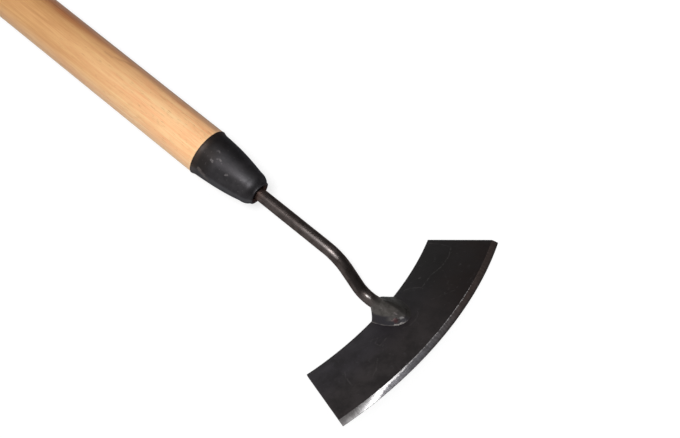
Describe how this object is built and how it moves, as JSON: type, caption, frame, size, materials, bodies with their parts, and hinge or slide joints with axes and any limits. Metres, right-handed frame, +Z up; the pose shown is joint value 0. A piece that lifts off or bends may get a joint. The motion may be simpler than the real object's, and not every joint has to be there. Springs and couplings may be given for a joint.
{
  "type": "dutch hoe",
  "caption": "Long-handled dutch hoe: a crescent push blade with a ground cutting edge, welded to a bent round neck that runs through a black ferrule into a waisted ash handle.",
  "frame": {"origin": "Middle of the box at floor level, under the hoe as it lies at rest on its handle's free end and on the rear corners of its blade.", "axes": "+X runs from the free end of the handle to the blade, +Z is up, and the XZ plane is the plane of symmetry."},
  "size_m": [1.6472, 0.164, 0.0459],
  "materials": {
    "ash": "turned ash with open grain under a thin satin lacquer",
    "black_steel": "satin black, lightly scuffed at the mouth",
    "bar_steel": "dark brown oxide on drawn bar, with fine rust speckle",
    "blade_steel": "black mill scale, with a bare ground bevel along the cutting edge",
    "weld_steel": "dressed weld under dark oxide"
  },
  "bodies": {
    "root": {"handle": "ash", "ferrule": "black_steel", "neck": "bar_steel", "blade": "blade_steel", "weld": "weld_steel"}
  },
  "joints": []
}
